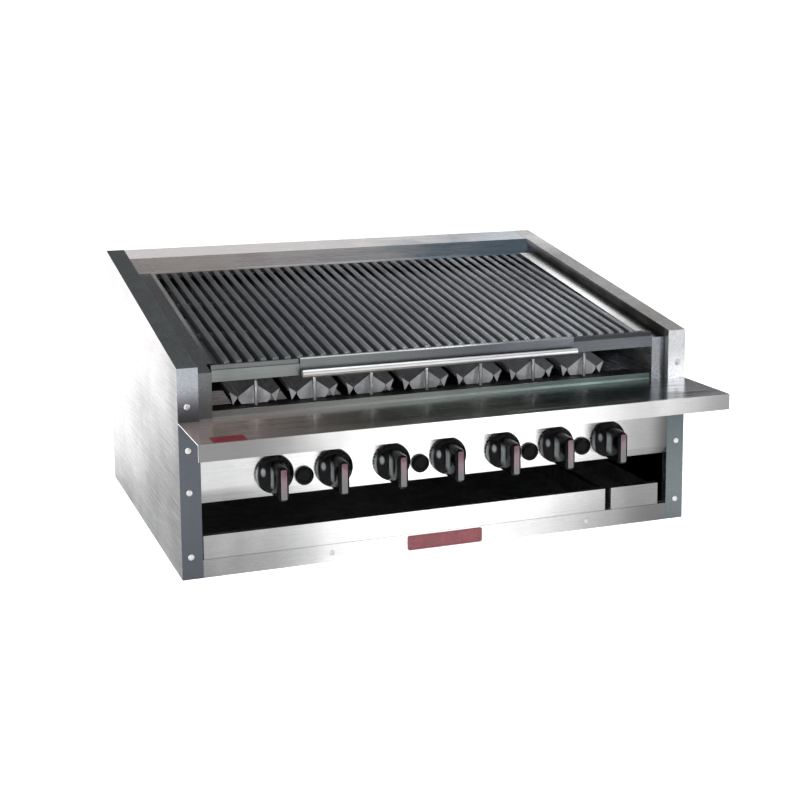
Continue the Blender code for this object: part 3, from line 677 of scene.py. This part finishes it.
def knob_plastic(name, painted_glint=0.0):
    """Gloss black phenolic with faint smeared grease and fine scratches; given a glint strength, pale painted
    highlights down each grip's left flank and on the skirt's upper left.
    """
    finish = Finish(name, (0.004, 0.004, 0.005), 0.12, 0.0)
    wipes_and_glints = finish.noise(45, 4, shift=2.0, distortion=1.0)
    scratches = finish.noise(900, 2, (1, 1, 0.05), shift=1.0)
    look = finish.blend(finish.remap(wipes_and_glints, 0.4, 0.8), (0.0015, 0.0015, 0.002), (0.005, 0.0055, 0.0055))
    if painted_glint:
        # Painted highlights: a pale streak down the grip's left flank near its foot, and a pale spot on the
        # skirt's upper left.
        turn = finish.maths("FRACT", finish.plus(finish.maths("DIVIDE", finish.x, KNOB_PITCH), 0.5))
        across = finish.times(finish.minus(turn, 0.5), KNOB_PITCH)
        foot = finish.remap(finish.y, FRONT - 0.040, FRONT - 0.028)
        flank = finish.times(finish.remap(finish.facing_x, -0.9, -0.7, 1.0, 0.0), foot)
        flank = finish.times(flank, finish.remap(finish.z, 0.138, 0.150))
        flank = finish.times(flank, finish.remap(finish.z, 0.168, 0.180, 1.0, 0.0))
        aside = finish.minus(across, -0.0215)
        above = finish.times(finish.minus(finish.z, 0.168), 0.55)
        squares = finish.plus(finish.maths("POWER", aside, 2.0), finish.maths("POWER", above, 2.0))
        away = finish.maths("SQRT", squares)
        spot = finish.remap(away, 0.0018, 0.0048, 1.0, 0.0)
        pale = finish.times(finish.maths("MAXIMUM", flank, spot), painted_glint)
        pale = finish.times(pale, finish.remap(wipes_and_glints, 0.25, 0.6, 0.5, 1.0))
        look = finish.blend(pale, look, (0.42, 0.46, 0.46))
    finish.colour(look)
    hazy = finish.remap(wipes_and_glints, 0.35, 0.75, 0.09, 0.19)
    finish.roughness(finish.plus(hazy, finish.remap(scratches, 0.6, 0.8, 0.0, 0.08)))
    finish.shader.inputs["Specular IOR Level"].default_value = 0.07
    finish.bump(wipes_and_glints, 0.0002, 0.1)
    return finish.material


def enamel(name, colour, deeper, roughness=0.25):
    """Coloured enamel, a little uneven and chalky in places."""
    finish = Finish(name, colour, roughness, 0.0)
    cloud = finish.noise(60, 4, shift=1.0, distortion=0.6)
    finish.colour(finish.blend(finish.remap(cloud, 0.3, 0.75), colour, deeper))
    finish.roughness(finish.remap(cloud, 0.3, 0.7, roughness - 0.05, roughness + 0.12))
    finish.shader.inputs["Coat Weight"].default_value = 0.3
    finish.bump(finish.noise(500, 2), 0.0001, 0.15)
    return finish.material


def pointer_paint():
    """The band down a knob's grip: dull red at the top, turning pink and then grey below."""
    finish = Finish("pointer_paint", (0.20, 0.15, 0.16), 0.35, 0.0)
    worn = finish.noise(70, 4, (1, 1, 0.4), shift=2.0, distortion=0.8)
    height = finish.plus(finish.z, finish.remap(worn, 0.3, 0.7, -0.008, 0.008))
    colour = finish.blend(finish.remap(height, 0.138, 0.158), (0.085, 0.092, 0.092), (0.145, 0.095, 0.112))
    colour = finish.blend(finish.remap(height, 0.166, 0.180), colour, (0.085, 0.026, 0.042))
    finish.colour(colour)
    finish.roughness(finish.remap(worn, 0.3, 0.7, 0.28, 0.45))
    finish.bump(worn, 0.0001, 0.2)
    return finish.material


def metal(name, colour, roughness, spots):
    """Turned or drawn metal with darker spots."""
    finish = Finish(name, colour, roughness, 1.0)
    cloud = finish.noise(90, 4, shift=2.0, distortion=0.5)
    finish.colour(finish.blend(finish.remap(cloud, 0.45, 0.75, 0.0, 0.7), colour, spots))
    finish.roughness(finish.remap(cloud, 0.3, 0.7, roughness - 0.05, roughness + 0.12))
    finish.bump(finish.noise(700, 3), 0.0001, 0.2)
    return finish.material


def pipe_black():
    """Black iron pipe: dull mill scale with a little rust."""
    finish = Finish("gas_pipe", (0.045, 0.045, 0.047), 0.55, 0.4)
    rust = finish.noise(55, 6, shift=3.0, distortion=0.8)
    rusted = finish.remap(rust, 0.58, 0.75, 0.0, 0.6)
    finish.colour(finish.blend(rusted, (0.045, 0.045, 0.047), (0.13, 0.06, 0.03)))
    finish.roughness(finish.remap(rust, 0.3, 0.7, 0.42, 0.68))
    finish.bump(finish.noise(300, 4), 0.0002, 0.4)
    return finish.material


LOOKS = {
    "casing_steel": cabinet_steel(),
    "panel_steel": front_steel(),
    "shelf_steel": shelf_steel(),
    "riser_steel": riser_steel(),
    "liner_steel": liner_steel(),
    "firebox_steel": sooty_steel("firebox_steel", (0.030, 0.029, 0.029), (0.008, 0.008, 0.008), 0.6),
    "rail_steel": rail_steel(),
    "trough_steel": trough_steel(),
    "badge_red": enamel("badge_red", (0.158, 0.022, 0.031), (0.112, 0.014, 0.020)),
    "gas_pipe": pipe_black(),
    "pilot_tube": metal("pilot_tube", (0.44, 0.45, 0.45), 0.38, (0.30, 0.29, 0.27)),
    "pan_steel": pan_steel(),
    "runner_steel": sooty_steel("runner_steel", (0.30, 0.30, 0.30), (0.10, 0.09, 0.08), 0.42),
    "burner_iron": burner_iron(),
    "radiant_steel": radiant_steel(),
    "brass": metal("brass", (0.70, 0.52, 0.22), 0.32, (0.35, 0.24, 0.10)),
    "knob_plastic": knob_plastic("knob_plastic", 0.55),
    "grate_iron": grate_iron(),
    "plug_plastic": knob_plastic("plug_plastic"),
}
SCREW_STEEL = metal("screw_steel", (0.50, 0.50, 0.51), 0.38, (0.30, 0.29, 0.28))
POINTER_RED = pointer_paint()
RADIANT_FRONT = radiant_face()


# CAD pieces that stay


def finish_frame():
    """Gives each CAD node its material, and rounds the folded edges of the sheet metal."""
    slots = {entry["node"]: entry["material_slot"] for entry in frame["record"]["subparts"]}
    fold = 0.0006
    sheet_slots = (
        "casing_steel",
        "panel_steel",
        "shelf_steel",
        "riser_steel",
        "liner_steel",
        "rail_steel",
        "pan_steel",
    )
    for name, obj in frame["nodes"].items():
        obj.data.materials.clear()
        obj.data.materials.append(LOOKS[slots[name]])
        if slots[name] in sheet_slots:
            soften(obj, fold)
        else:
            smoothed(obj.data, 40)


# Controls


def knob_grip(centre):
    """The bar that the fingers turn: long, tapered to its crown, with rounded ends and edges."""
    stations = (
        (-0.0120, 1.00),
        (-0.0260, 0.985),
        (-0.0420, 0.955),
        (-0.0535, 0.925),
        (-0.0564, 0.86),
        (-0.0578, 0.74),
    )
    half_width, upper, lower, steps = 0.0102, 0.0247, 0.0337, 10
    turns = [math.pi * k / steps for k in range(steps + 1)]
    rings = []
    for depth, share in stations:
        width, shorter = half_width * share, (1 - share) * half_width
        round_end = [(width * math.cos(a), width * math.sin(a) - width - shorter) for a in turns]
        top = [(x, upper + z) for x, z in round_end]
        bottom = [(-x, -lower - z) for x, z in round_end]
        rings.append([Vector(centre) + Vector((x, depth, z)) for x, z in top + bottom])
    return rings


def build_knobs():
    """Each knob: a domed skirt, the grip across it and the band down the grip."""
    skirt = [
        (0.0300, -0.0020),
        (0.0316, -0.0024),
        (0.0320, -0.0040),
        (0.0318, -0.0064),
        (0.0308, -0.0090),
        (0.0290, -0.0114),
        (0.0264, -0.0134),
        (0.0230, -0.0150),
        (0.0188, -0.0163),
        (0.0140, -0.0172),
        (0.0085, -0.0177),
        (0.0030, -0.0178),
    ]
    for i in KNOBS:
        low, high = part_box(f"knob_{i}")
        body = f"knob_{i}"
        centre = Vector(((low.x + high.x) / 2, FRONT, high.z - KNOB_RADIUS))
        mesh = smoothed(mesh_of_rings(f"knob_skirt_{i}", turned(skirt, 72, centre)), 50)
        piece(f"knob_skirt_{i}", mesh, body, "knob_plastic", LOOKS["knob_plastic"], f"knob_{i}")
        grip = smoothed(mesh_of_rings(f"knob_grip_{i}", knob_grip(centre)), 50)
        piece(f"knob_grip_{i}", grip, body, "knob_plastic", LOOKS["knob_plastic"])
        line = rounded_plate((-0.0042, -0.0290), (0.0056, 0.0200), 0.0016)
        rings = [[centre + Vector((x, depth, z)) for x, z in line] for depth in (-0.0570, -0.05805)]
        pointer = mesh_of_rings(f"knob_pointer_{i}", rings)
        piece(f"knob_pointer_{i}", pointer, body, "badge_red", POINTER_RED)


def build_plugs():
    """Press-in caps with a rounded rim and a hollow middle."""
    profile = [
        (0.0100, 0.0058),
        (0.0100, -0.0004),
        (0.0150, -0.0004),
        (0.0155, -0.0010),
        (0.0155, -0.0045),
        (0.0150, -0.0060),
        (0.0136, -0.0072),
        (0.0116, -0.0078),
        (0.0100, -0.0078),
        (0.0092, -0.0070),
        (0.0088, -0.0058),
        (0.0030, -0.0056),
    ]
    for i in PLUGS:
        low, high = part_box(f"pilot_plug_{i}")
        centre = Vector(((low.x + high.x) / 2, FRONT, (low.z + high.z) / 2))
        mesh = smoothed(mesh_of_rings(f"plug_cap_{i}", turned(profile, 48, centre)), 40)
        plug = f"pilot_plug_{i}"
        piece(f"plug_cap_{i}", mesh, plug, "plug_plastic", LOOKS["plug_plastic"], plug)


# Grates


def grate_bar(place, outline, length, rng):
    """Rings along one bar, which is a little wider and lower in some places than in others."""
    steps, edge, shoulder = 22, 0.0012, 0.004
    stations = [0, edge, shoulder] + [length * n / steps for n in range(1, steps)]
    stations += [length - shoulder, length - edge, length]
    last = len(stations) - 1
    rings = []
    for n, y in enumerate(stations):
        if n in (0, last):
            share, drop = 0.72, 0.0016
        elif n in (1, last - 1):
            share, drop = 0.92, 0.0004
        else:
            share, drop = 1 + rng.uniform(-0.025, 0.025), rng.uniform(0, 0.0003)
        rings.append([place(x * share, y, z - drop * (z > 0.01)) for x, z in outline])
    return rings


def grate_rib(place, start, half):
    """One cross rib with drafted flanks, from one side of the section to the other."""
    width, height, shoulder, draft = RIB_WIDTH, 0.014, 0.004, 0.0015
    section = [
        (start + 0.0006, 0),
        (start + width - 0.0006, 0),
        (start + width, shoulder),
        (start + width - draft, height),
        (start + draft, height),
        (start, shoulder),
    ]
    return [[place(x, y, z) for y, z in section] for x in (-half, half)]


def build_grates():
    """Cast sections: bars with rounded, slightly uneven tops on drafted cross ribs."""
    rng = random.Random(7)
    thickness, foot, crown = 0.022, 0.0034, 0.0063
    outline = [
        (-foot, 0.0030),
        (foot, 0.0030),
        (crown - 0.0004, thickness - 0.0030),
        (crown - 0.0008, thickness - 0.0012),
        (crown - 0.0026, thickness - 0.0001),
        (0, thickness),
        (-crown + 0.0026, thickness - 0.0001),
        (-crown + 0.0008, thickness - 0.0012),
        (-crown + 0.0004, thickness - 0.0030),
    ]
    for i in GRATES:
        low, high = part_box(f"grate_{i}")
        bars = round((high.x - low.x) / BAR_PITCH)
        corner = Vector(((low.x + high.x) / 2, low.y + thickness * math.sin(TILT), low.z))
        length = (high.y - corner.y) / math.cos(TILT)
        stacks = []
        for k in range(bars):
            middle = BAR_PITCH * (k - (bars - 1) / 2)
            stacks.append(
                grate_bar(lambda x, y, z: corner + up_slope(middle + x, y, z), outline, length, rng)
            )
        half = (high.x - low.x) / 2
        for start in (0.0005, 0.165, 0.335, length - RIB_WIDTH - 0.0005):
            stacks.append(grate_rib(lambda x, y, z: corner + up_slope(x, y, z), start, half))
        mesh = smoothed(mesh_of_rings(f"grate_casting_{i}", *stacks), 45)
        piece(f"grate_casting_{i}", mesh, f"grate_{i}", "grate_iron", LOOKS["grate_iron"], f"grate_{i}")


# Firebox


def build_radiants():
    """Inverted-V radiants with hemmed, turned-up edges, a closed front and pointed corner legs."""
    half, valley, wing, apex = 0.0275, 0.0145, 0.0435, 0.0350
    length = 0.420
    hem, edge = 0.0165, 0.0250
    thickness = 0.0016
    path = [
        (-wing, hem),
        (-wing, edge),
        (-half, valley),
        (0, apex),
        (half, valley),
        (wing, edge),
        (wing, hem),
    ]
    sheet = bent_sheet(path, thickness, 0.003)
    front = [(-0.022, 0.0006), (0.022, 0.0006), (half, 0.0080), (half, valley), (0, apex), (-half, valley)]
    front += [(-half, 0.0080)]
    leg = [(0.0290, 0.0130), (0.0425, 0.0225), (0.0365, 0.0004)]
    for i in KNOBS:
        low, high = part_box(f"radiant_{i}")
        corner = Vector(((low.x + high.x) / 2, low.y + 0.0355 * math.sin(TILT), low.z))
        roof = [[corner + up_slope(x, y, z) for x, z in sheet] for y in (0, length)]
        stacks = []
        for y in (-0.0004, length - 0.0018):
            faces = (y, y + thickness)
            stacks.append([[corner + up_slope(x, d, z) for x, z in front] for d in faces])
            for side in (-1, 1):
                stacks.append([[corner + up_slope(side * x, d, z) for x, z in leg] for d in faces])
        name = f"radiant_sheet_{i}"
        mesh = smoothed(mesh_of_rings(name, roof), 25)
        piece(name, mesh, "cabinet", "radiant_steel", LOOKS["radiant_steel"], f"radiant_{i}")
        name = f"radiant_ends_{i}"
        ends = mesh_of_rings(name, *stacks)
        piece(name, ends, "cabinet", "radiant_steel", RADIANT_FRONT)


def build_pilots():
    """The pilot rail and its seven hooked tubes, each with a nut on the rail."""
    low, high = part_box("pilot_rail")
    radius, sides = 0.0032, 16
    y, z = low.y + radius, low.z + radius
    rail = swept([(low.x, y, z), (high.x, y, z)], [radius, radius], sides)
    stacks, nuts = [rail], []
    hook = 0.007  # radius of the bend
    top = high.z - radius - hook
    for i in KNOBS:
        radiant_low, radiant_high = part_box(f"radiant_{i}")
        x = (radiant_low.x + radiant_high.x) / 2
        bend = arc((x, y + hook, top), (0, -1, 0), (0, 0, 1), hook, 0, 90, 8)
        tip = high.y - 0.0002
        ends = [(x, tip - inset, top + hook) for inset in (0.006, 0.004, 0.0)]
        way = [(x, y, z), *bend, *ends]
        stacks.append(swept(way, [radius] * len(way), sides))
        nuts.append(swept([(x, y, z + 0.003), (x, y, z + 0.012)], [0.0058, 0.0058], 6))
    mesh = smoothed(mesh_of_rings("pilot_tubes", *stacks), 40)
    piece("pilot_tubes", mesh, "cabinet", "pilot_tube", LOOKS["pilot_tube"], "pilot_rail")
    piece("pilot_nuts", mesh_of_rings("pilot_nuts", *nuts), "cabinet", "brass", LOOKS["brass"])


def build_trough():
    """The grease trough: a polished gutter with a rolled front edge, hooked over the front rail."""
    low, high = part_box("grease_trough")
    thickness, roll = 0.0012, 0.0060
    roll_y, roll_z = low.y + roll, low.z + thickness + roll
    back = FRONT + STRIP_DEPTH - thickness - 0.0003
    path = [
        (roll_y, low.z + thickness),
        (back, low.z + thickness),
        (back, high.z),
        (high.y, high.z),
    ]
    gutter = across(bent_sheet(path, thickness, 0.0015), low.x, high.x)
    bar = swept([(low.x, roll_y, roll_z), (high.x, roll_y, roll_z)], [roll, roll], 32)
    mesh = smoothed(mesh_of_rings("trough_gutter", gutter), 40)
    piece("trough_gutter", mesh, "grease_trough", "rail_steel", LOOKS["rail_steel"], "grease_trough")
    mesh = smoothed(mesh_of_rings("trough_roll", bar), 40)
    piece("trough_roll", mesh, "grease_trough", "trough_steel", LOOKS["trough_steel"])


# Fasteners, badge and back


def screw_head(centre, radius, height, sides=24):
    """A domed head on a face that looks along -Y."""
    x, y, z = centre
    profile = [
        (radius, 0.0),
        (radius * 0.98, -height * 0.35),
        (radius * 0.80, -height * 0.80),
        (radius * 0.45, -height),
        (radius * 0.30, -height * 0.96),
        (radius * 0.24, -height * 0.55),
    ]
    return turned(profile, sides, (x, y, z))


def build_screws():
    """Heads down both front posts and along the base rail."""
    left, right = -HALF + 0.015, HALF - 0.015
    face = FRONT - 0.00005
    posts = [(left, z) for z in (0.283, 0.212, 0.143, 0.037)]
    posts += [(right, z) for z in (0.287, 0.144, 0.036)]
    stacks = [screw_head((x, face, z), 0.0052, 0.0014) for x, z in posts]
    stacks += [screw_head((x, face, RAIL_TOP / 2), 0.0046, 0.0012) for x in (-0.207, 0.263)]
    mesh = smoothed(mesh_of_rings("front_screws", *stacks), 50)
    piece("front_screws", mesh, "cabinet", "casing_steel", SCREW_STEEL)


def build_badge():
    """A plain enamelled plate with a soft edge and a shallow raised border."""
    low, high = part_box("badge_plate")
    rings = []
    for inset, depth in ((0, 0), (0, 0.7), (0.0005, 1.0), (0.0020, 1.0), (0.0024, 0.55), (0.0032, 0.5)):
        outline = rounded_plate((low.x + inset, low.z + inset), (high.x - inset, high.z - inset), 0.0035)
        y = high.y - (high.y - low.y) * depth
        rings.append([Vector((x, y, z)) for x, z in outline])
    mesh = smoothed(mesh_of_rings("badge_enamel", rings), 30)
    piece("badge_enamel", mesh, "cabinet", "badge_red", LOOKS["badge_red"], "badge_plate")


def build_label():
    """A plain red label at the left end of the shelf, close to its front edge."""
    low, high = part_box("front_shelf")
    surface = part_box("control_panel")[1].z + SHEET + 0.0003
    width, depth, inset = 0.053, 0.034, 0.024
    start, end = (low.x + inset, low.y + 0.003), (low.x + inset + width, low.y + 0.003 + depth)
    outline = rounded_plate(start, end, 0.001)
    rings = [[Vector((x, y, z)) for x, y in outline] for z in (surface + 0.00005, surface + 0.00030)]
    mesh = mesh_of_rings("shelf_label", rings)
    piece("shelf_label", mesh, "cabinet", "badge_red", LOOKS["badge_red"])


def build_back():
    """The back sheet, set in from the casings' edges, with pressed louvres and a row of screws round it."""
    low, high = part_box("back_panel")
    face = high.y - 0.0022
    outer = rounded_plate((low.x, low.z + 0.0005), (high.x, high.z - 0.002), 0.002)
    rings = [[Vector((x, y, z)) for x, z in outer] for y in (face - 0.0012, face)]
    mesh = mesh_of_rings("back_sheet", rings)
    piece("back_sheet", mesh, "cabinet", "casing_steel", LOOKS["casing_steel"], "back_panel")

    louvres = []
    width, height, reach, steps = 0.090, 0.010, 0.0020, 6
    for column in range(6):
        x = -0.300 + 0.120 * column
        for row in range(3):
            z = 0.300 + 0.022 * row
            section = [(face - 0.0004, z + height / 2)]
            for k in range(steps + 1):
                a = math.pi * k / steps / 2
                section.append((face + reach * math.sin(a), z + height / 2 - height * (1 - math.cos(a))))
            section.append((face - 0.0004, z - height / 2))
            louvres.append(across(section, x - width / 2, x + width / 2))
    mesh = smoothed(mesh_of_rings("back_louvres", *louvres), 30)
    piece("back_louvres", mesh, "cabinet", "casing_steel", LOOKS["casing_steel"])

    pitch = (high.x - low.x - 0.024) / 8
    spots = [(low.x + 0.012 + k * pitch, z) for k in range(9) for z in (0.012, high.z - 0.02)]
    spots += [(x, z) for x in (low.x + 0.012, high.x - 0.012) for z in (0.12, 0.23, 0.34)]
    stacks = []
    for x, z in spots:
        rings = screw_head((x, 0, z), 0.0045, 0.0018)
        stacks.append([[Vector((p.x, face + 0.00005 - p.y, p.z)) for p in ring] for ring in rings])
    mesh = smoothed(mesh_of_rings("back_screws", *stacks), 50)
    piece("back_screws", mesh, "cabinet", "casing_steel", SCREW_STEEL)


def build_inlet():
    """A hexagonal union on the gas inlet, just inside the back sheet's hole."""
    low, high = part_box("gas_manifold")
    x, z = 0.390, (low.z + high.z) / 2
    nut = swept([(x, BACK - 0.0125, z), (x, BACK - 0.0005, z)], [0.0215, 0.0215], 6)
    bore = [[Vector((x + r * math.cos(a), y, z + r * math.sin(a))) for a in turns_of(24)] for r, y in (
        (0.0160, BACK - 0.0004),
        (0.0160, BACK - 0.0001),
        (0.0125, BACK - 0.0001),
        (0.0120, BACK - 0.0080),
    )]
    mesh = smoothed(mesh_of_rings("inlet_union", nut), 30)
    piece("inlet_union", mesh, "cabinet", "gas_pipe", LOOKS["gas_pipe"])
    mesh = smoothed(mesh_of_rings("inlet_mouth", bore), 30)
    piece("inlet_mouth", mesh, "cabinet", "brass", LOOKS["brass"])


# Light, floor and camera


def build_floor():
    """A plain pale floor with no edge in view."""
    radius, sides = 9.0, 96
    ring = [Vector((radius * math.cos(a), radius * math.sin(a), 0)) for a in turns_of(sides)]
    mesh = bpy.data.meshes.new("floor")
    mesh.from_pydata([tuple(p) for p in ring], [], [tuple(range(sides))])
    finish = Finish("floor_paint", (0.93, 0.93, 0.93), 0.9, 0.0)
    finish.shader.inputs["Emission Color"].default_value = (1, 1, 1, 1)
    finish.shader.inputs["Emission Strength"].default_value = 0.80
    mesh.materials.append(finish.material)
    floor = bpy.data.objects.new("floor", mesh)
    bpy.context.scene.collection.objects.link(floor)


def build_world():
    """White behind the object, as the camera sees it. Steel mirrors a lighter front and a darker back."""
    world = bpy.data.worlds.new("studio")
    world.use_nodes = True
    tree = world.node_tree
    direction = tree.nodes.new("ShaderNodeTexCoord").outputs["Generated"]
    split = tree.nodes.new("ShaderNodeSeparateXYZ")
    tree.links.new(direction, split.inputs[0])
    front = ((0.0, 1.0), (0.12, 0.95), (0.36, 0.50), (0.75, 0.34), (1.0, 0.60))
    back = ((0.0, 0.40), (0.16, 0.20), (0.45, 0.22), (0.75, 0.25), (1.0, 0.60))
    ramps = []
    for stops in (front, back):
        ramp = tree.nodes.new("ShaderNodeValToRGB")
        tree.links.new(split.outputs[2], ramp.inputs[0])
        while len(ramp.color_ramp.elements) < len(stops):
            ramp.color_ramp.elements.new(0.5)
        for element, (spot, value) in zip(ramp.color_ramp.elements, stops):
            element.position = spot
            element.color = (value, value, value * 1.02, 1)
        ramps.append(ramp.outputs[0])
    towards_back = tree.nodes.new("ShaderNodeMapRange")
    towards_back.interpolation_type = "SMOOTHSTEP"
    tree.links.new(split.outputs[1], towards_back.inputs["Value"])
    towards_back.inputs["From Min"].default_value = -0.25
    towards_back.inputs["From Max"].default_value = 0.35
    around = tree.nodes.new("ShaderNodeMix")
    around.data_type = "RGBA"
    tree.links.new(towards_back.outputs[0], around.inputs[0])
    tree.links.new(ramps[0], around.inputs[6])
    tree.links.new(ramps[1], around.inputs[7])
    seen = tree.nodes.new("ShaderNodeMix")
    seen.data_type = "RGBA"
    tree.links.new(tree.nodes.new("ShaderNodeLightPath").outputs["Is Camera Ray"], seen.inputs[0])
    tree.links.new(around.outputs[2], seen.inputs[6])
    seen.inputs[7].default_value = (1, 1, 1, 1)
    background = tree.nodes["Background"]
    tree.links.new(seen.outputs[2], background.inputs["Color"])
    background.inputs["Strength"].default_value = 1.05
    bpy.context.scene.world = world


def softbox(name, place, target, size, power):
    """A rectangular area light that looks at its target."""
    light = bpy.data.lights.new(name, "AREA")
    light.shape = "RECTANGLE"
    light.size, light.size_y = size
    light.energy = power
    lamp = bpy.data.objects.new(name, light)
    lamp.location = place
    lamp.rotation_euler = (Vector(target) - Vector(place)).to_track_quat("-Z", "Y").to_euler()
    bpy.context.scene.collection.objects.link(lamp)


def build_lights():
    softbox("key", (-1.6, -2.6, 2.4), (0, 0, 0.2), (1.2, 1.2), 60)
    softbox("strip_left", (-1.9, -1.6, 0.55), (0, -0.2, 0.2), (0.12, 1.4), 14)
    softbox("strip_right", (1.5, -2.4, 0.8), (0, -0.2, 0.2), (0.25, 1.5), 14)
    softbox("top", (0.2, 0.1, 2.6), (0, 0, 0.3), (2.2, 1.4), 30)
    softbox("back_right", (1.7, 2.1, 2.1), (0.2, 0, 0.35), (1.0, 0.9), 8)


def build_camera():
    """Seen from the front left and from above, with the lens shifted a little."""
    camera = bpy.data.cameras.new("camera")
    camera.sensor_width = 36.0
    camera.lens = 65.69
    camera.shift_y = -0.14
    seen = bpy.data.objects.new("camera", camera)
    seen.location = (-0.9015, -2.4761, 0.8057)
    yaw, pitch, roll = 0.3530, 0.1487, -0.0077
    ahead = Vector((math.sin(yaw) * math.cos(pitch), math.cos(yaw) * math.cos(pitch), -math.sin(pitch)))
    level = Vector((math.cos(yaw), -math.sin(yaw), 0))
    above = level.cross(ahead)
    right = level * math.cos(roll) + above * math.sin(roll)
    up = above * math.cos(roll) - level * math.sin(roll)
    turn = Matrix([(right[k], up[k], -ahead[k]) for k in range(3)])
    seen.rotation_euler = turn.to_euler()
    bpy.context.scene.collection.objects.link(seen)
    bpy.context.scene.camera = seen


finish_frame()
build_knobs()
build_plugs()
build_grates()
build_radiants()
build_pilots()
build_trough()
build_screws()
build_badge()
build_label()
build_back()
build_inlet()
build_floor()
build_world()
build_lights()
build_camera()
bpy.context.scene.view_settings.view_transform = "Standard"
